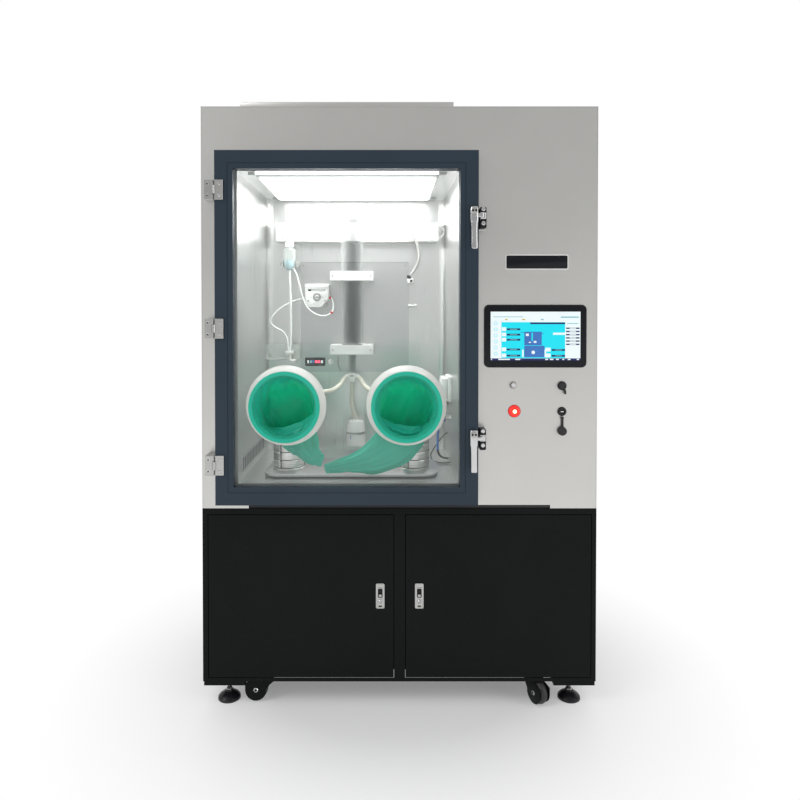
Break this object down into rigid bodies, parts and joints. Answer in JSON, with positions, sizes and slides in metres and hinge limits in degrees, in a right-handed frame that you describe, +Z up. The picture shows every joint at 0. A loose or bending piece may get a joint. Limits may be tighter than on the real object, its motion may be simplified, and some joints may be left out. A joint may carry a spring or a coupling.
{
  "type": "laboratory glove box",
  "caption": "Floor-standing steel glove box with a glass door carrying glove ports, a lit test chamber, side touchscreen controls and a base cupboard on casters.",
  "frame": {"origin": "on the floor, at the middle of the object's outline seen from above", "axes": "+Z up, the doors and controls face -Y, +X to the right of someone facing the doors"},
  "size_m": [1.18, 0.725, 1.8165],
  "materials": {
    "stainless": "satin brushed",
    "black_coat": "fine powder coat",
    "door_coat": "satin coat",
    "glass": "clear",
    "port_plastic": "semi gloss",
    "glove_rubber": "matt",
    "zinc_cast": "satin plated",
    "chrome": "polished",
    "white_plastic": "matt",
    "screen_black": "gloss",
    "red_lamp": "gloss",
    "black_rubber": "matt",
    "caster_tyre": "matt",
    "alloy": "machined",
    "pump_blue": "semi gloss"
  },
  "bodies": {
    "cabinet": {"base_casing": "black_coat", "base_floor": "black_coat", "upper_casing": "stainless", "upper_front_panel": "stainless", "upper_back_panel": "stainless", "roof_cover": "stainless", "chamber_liner": "stainless", "mounting_plate": "stainless", "sampler_tray": "stainless", "aerosol_cylinder": "glass", "data_socket_upper": "black_rubber", "data_socket_lower": "black_rubber", "levelling_foot_front_left": "black_rubber", "levelling_foot_front_right": "black_rubber", "levelling_foot_rear_left": "black_rubber", "levelling_foot_rear_right": "black_rubber", "hinge_block_top": "zinc_cast", "hinge_block_middle": "zinc_cast", "hinge_block_bottom": "zinc_cast", "latch_keeper_upper": "chrome", "latch_keeper_lower": "chrome", "touchscreen": "screen_black", "cylinder_clamp_upper": "white_plastic", "cylinder_clamp_lower": "white_plastic", "pump_head": "white_plastic", "trap_bottle": "white_plastic", "lamp_batten": "white_plastic", "sampler_left": "alloy", "sampler_right": "alloy", "vacuum_pump": "pump_blue"},
    "chamber_door": {"door_frame": "door_coat", "door_glass": "glass", "door_seal": "black_rubber", "port_ring_left": "port_plastic", "port_ring_right": "port_plastic", "glove_left": "glove_rubber", "glove_right": "glove_rubber", "hinge_leaf_top": "zinc_cast", "hinge_leaf_middle": "zinc_cast", "hinge_leaf_bottom": "zinc_cast"},
    "upper_latch": {"latch_lever_upper": "chrome"},
    "lower_latch": {"latch_lever_lower": "chrome"},
    "left_base_door": {"base_door_left": "black_coat", "lock_plate_left": "zinc_cast"},
    "right_base_door": {"base_door_right": "black_coat", "lock_plate_right": "zinc_cast"},
    "left_lock_button": {"lock_button_left": "chrome"},
    "right_lock_button": {"lock_button_right": "chrome"},
    "push_button": {"push_button": "chrome"},
    "stop_button": {"stop_button": "red_lamp"},
    "pump_rotor": {"pump_rotor": "alloy"},
    "socket_cap": {"socket_cap": "black_rubber"},
    "front_left_caster_fork": {"caster_fork_front_left": "zinc_cast"},
    "front_left_caster_wheel": {"caster_wheel_front_left": "caster_tyre"},
    "front_right_caster_fork": {"caster_fork_front_right": "zinc_cast"},
    "front_right_caster_wheel": {"caster_wheel_front_right": "caster_tyre"},
    "rear_left_caster_fork": {"caster_fork_rear_left": "zinc_cast"},
    "rear_left_caster_wheel": {"caster_wheel_rear_left": "caster_tyre"},
    "rear_right_caster_fork": {"caster_fork_rear_right": "zinc_cast"},
    "rear_right_caster_wheel": {"caster_wheel_rear_right": "caster_tyre"}
  },
  "joints": [
    {"name": "chamber_door_hinge", "type": "hinge", "parent": "cabinet", "child": "chamber_door", "pos_m": [-0.541, -0.3385, 1.137], "axis": [0, 0, -1], "range_deg": [0, 110]},
    {"name": "upper_latch_lever", "type": "hinge", "parent": "chamber_door", "child": "upper_latch", "pos_m": [0.1995, -0.3405, 1.43], "axis": [0, 0, -1], "range_deg": [0, 40], "stiffness_Nm_per_rad": 0.6},
    {"name": "lower_latch_lever", "type": "hinge", "parent": "chamber_door", "child": "lower_latch", "pos_m": [0.1995, -0.3405, 0.78], "axis": [0, 0, -1], "range_deg": [0, 40], "stiffness_Nm_per_rad": 0.6},
    {"name": "left_base_door_hinge", "type": "hinge", "parent": "cabinet", "child": "left_base_door", "pos_m": [-0.5725, -0.2875, 0.332], "axis": [0, 0, -1], "range_deg": [0, 110]},
    {"name": "right_base_door_hinge", "type": "hinge", "parent": "cabinet", "child": "right_base_door", "pos_m": [0.5745, -0.2875, 0.332], "axis": [0, 0, 1], "range_deg": [0, 110]},
    {"name": "left_lock_press", "type": "slide", "parent": "left_base_door", "child": "left_lock_button", "axis": [0, 1, 0], "range_m": [0, 0.0025], "stiffness_N_per_m": 500},
    {"name": "right_lock_press", "type": "slide", "parent": "right_base_door", "child": "right_lock_button", "axis": [0, 1, 0], "range_m": [0, 0.0025], "stiffness_N_per_m": 500},
    {"name": "push_button_press", "type": "slide", "parent": "cabinet", "child": "push_button", "axis": [0, 1, 0], "range_m": [0, 0.003], "stiffness_N_per_m": 600},
    {"name": "stop_button_press", "type": "slide", "parent": "cabinet", "child": "stop_button", "axis": [0, 1, 0], "range_m": [0, 0.004], "stiffness_N_per_m": 800},
    {"name": "pump_rotor_spin", "type": "hinge", "parent": "cabinet", "child": "pump_rotor", "pos_m": [-0.291, 0.1459, 1.23775], "axis": [0, -1, 0], "continuous": true},
    {"name": "socket_cap_swing", "type": "hinge", "parent": "cabinet", "child": "socket_cap", "pos_m": [0.485, -0.2925, 0.8705], "axis": [0, 1, 0], "range_deg": [-60, 60]},
    {"name": "front_left_caster_swivel", "type": "hinge", "parent": "cabinet", "child": "front_left_caster_fork", "pos_m": [-0.41, -0.2475, 0.09], "axis": [0, 0, 1], "continuous": true},
    {"name": "front_left_caster_roll", "type": "hinge", "parent": "front_left_caster_fork", "child": "front_left_caster_wheel", "pos_m": [-0.436, -0.2475, 0.036], "axis": [0, 1, 0], "continuous": true},
    {"name": "front_right_caster_swivel", "type": "hinge", "parent": "cabinet", "child": "front_right_caster_fork", "pos_m": [0.41, -0.2475, 0.09], "axis": [0, 0, 1], "continuous": true},
    {"name": "front_right_caster_roll", "type": "hinge", "parent": "front_right_caster_fork", "child": "front_right_caster_wheel", "pos_m": [0.42099, -0.27106, 0.036], "axis": [-0.9063, -0.4226, 0], "continuous": true},
    {"name": "rear_left_caster_swivel", "type": "hinge", "parent": "cabinet", "child": "rear_left_caster_fork", "pos_m": [-0.41, 0.3225, 0.09], "axis": [0, 0, 1], "continuous": true},
    {"name": "rear_left_caster_roll", "type": "hinge", "parent": "rear_left_caster_fork", "child": "rear_left_caster_wheel", "pos_m": [-0.41, 0.2965, 0.036], "axis": [-1, 0, 0], "continuous": true},
    {"name": "rear_right_caster_swivel", "type": "hinge", "parent": "cabinet", "child": "rear_right_caster_fork", "pos_m": [0.41, 0.3225, 0.09], "axis": [0, 0, 1], "continuous": true},
    {"name": "rear_right_caster_roll", "type": "hinge", "parent": "rear_right_caster_fork", "child": "rear_right_caster_wheel", "pos_m": [0.436, 0.3225, 0.036], "axis": [0, -1, 0], "continuous": true}
  ]
}
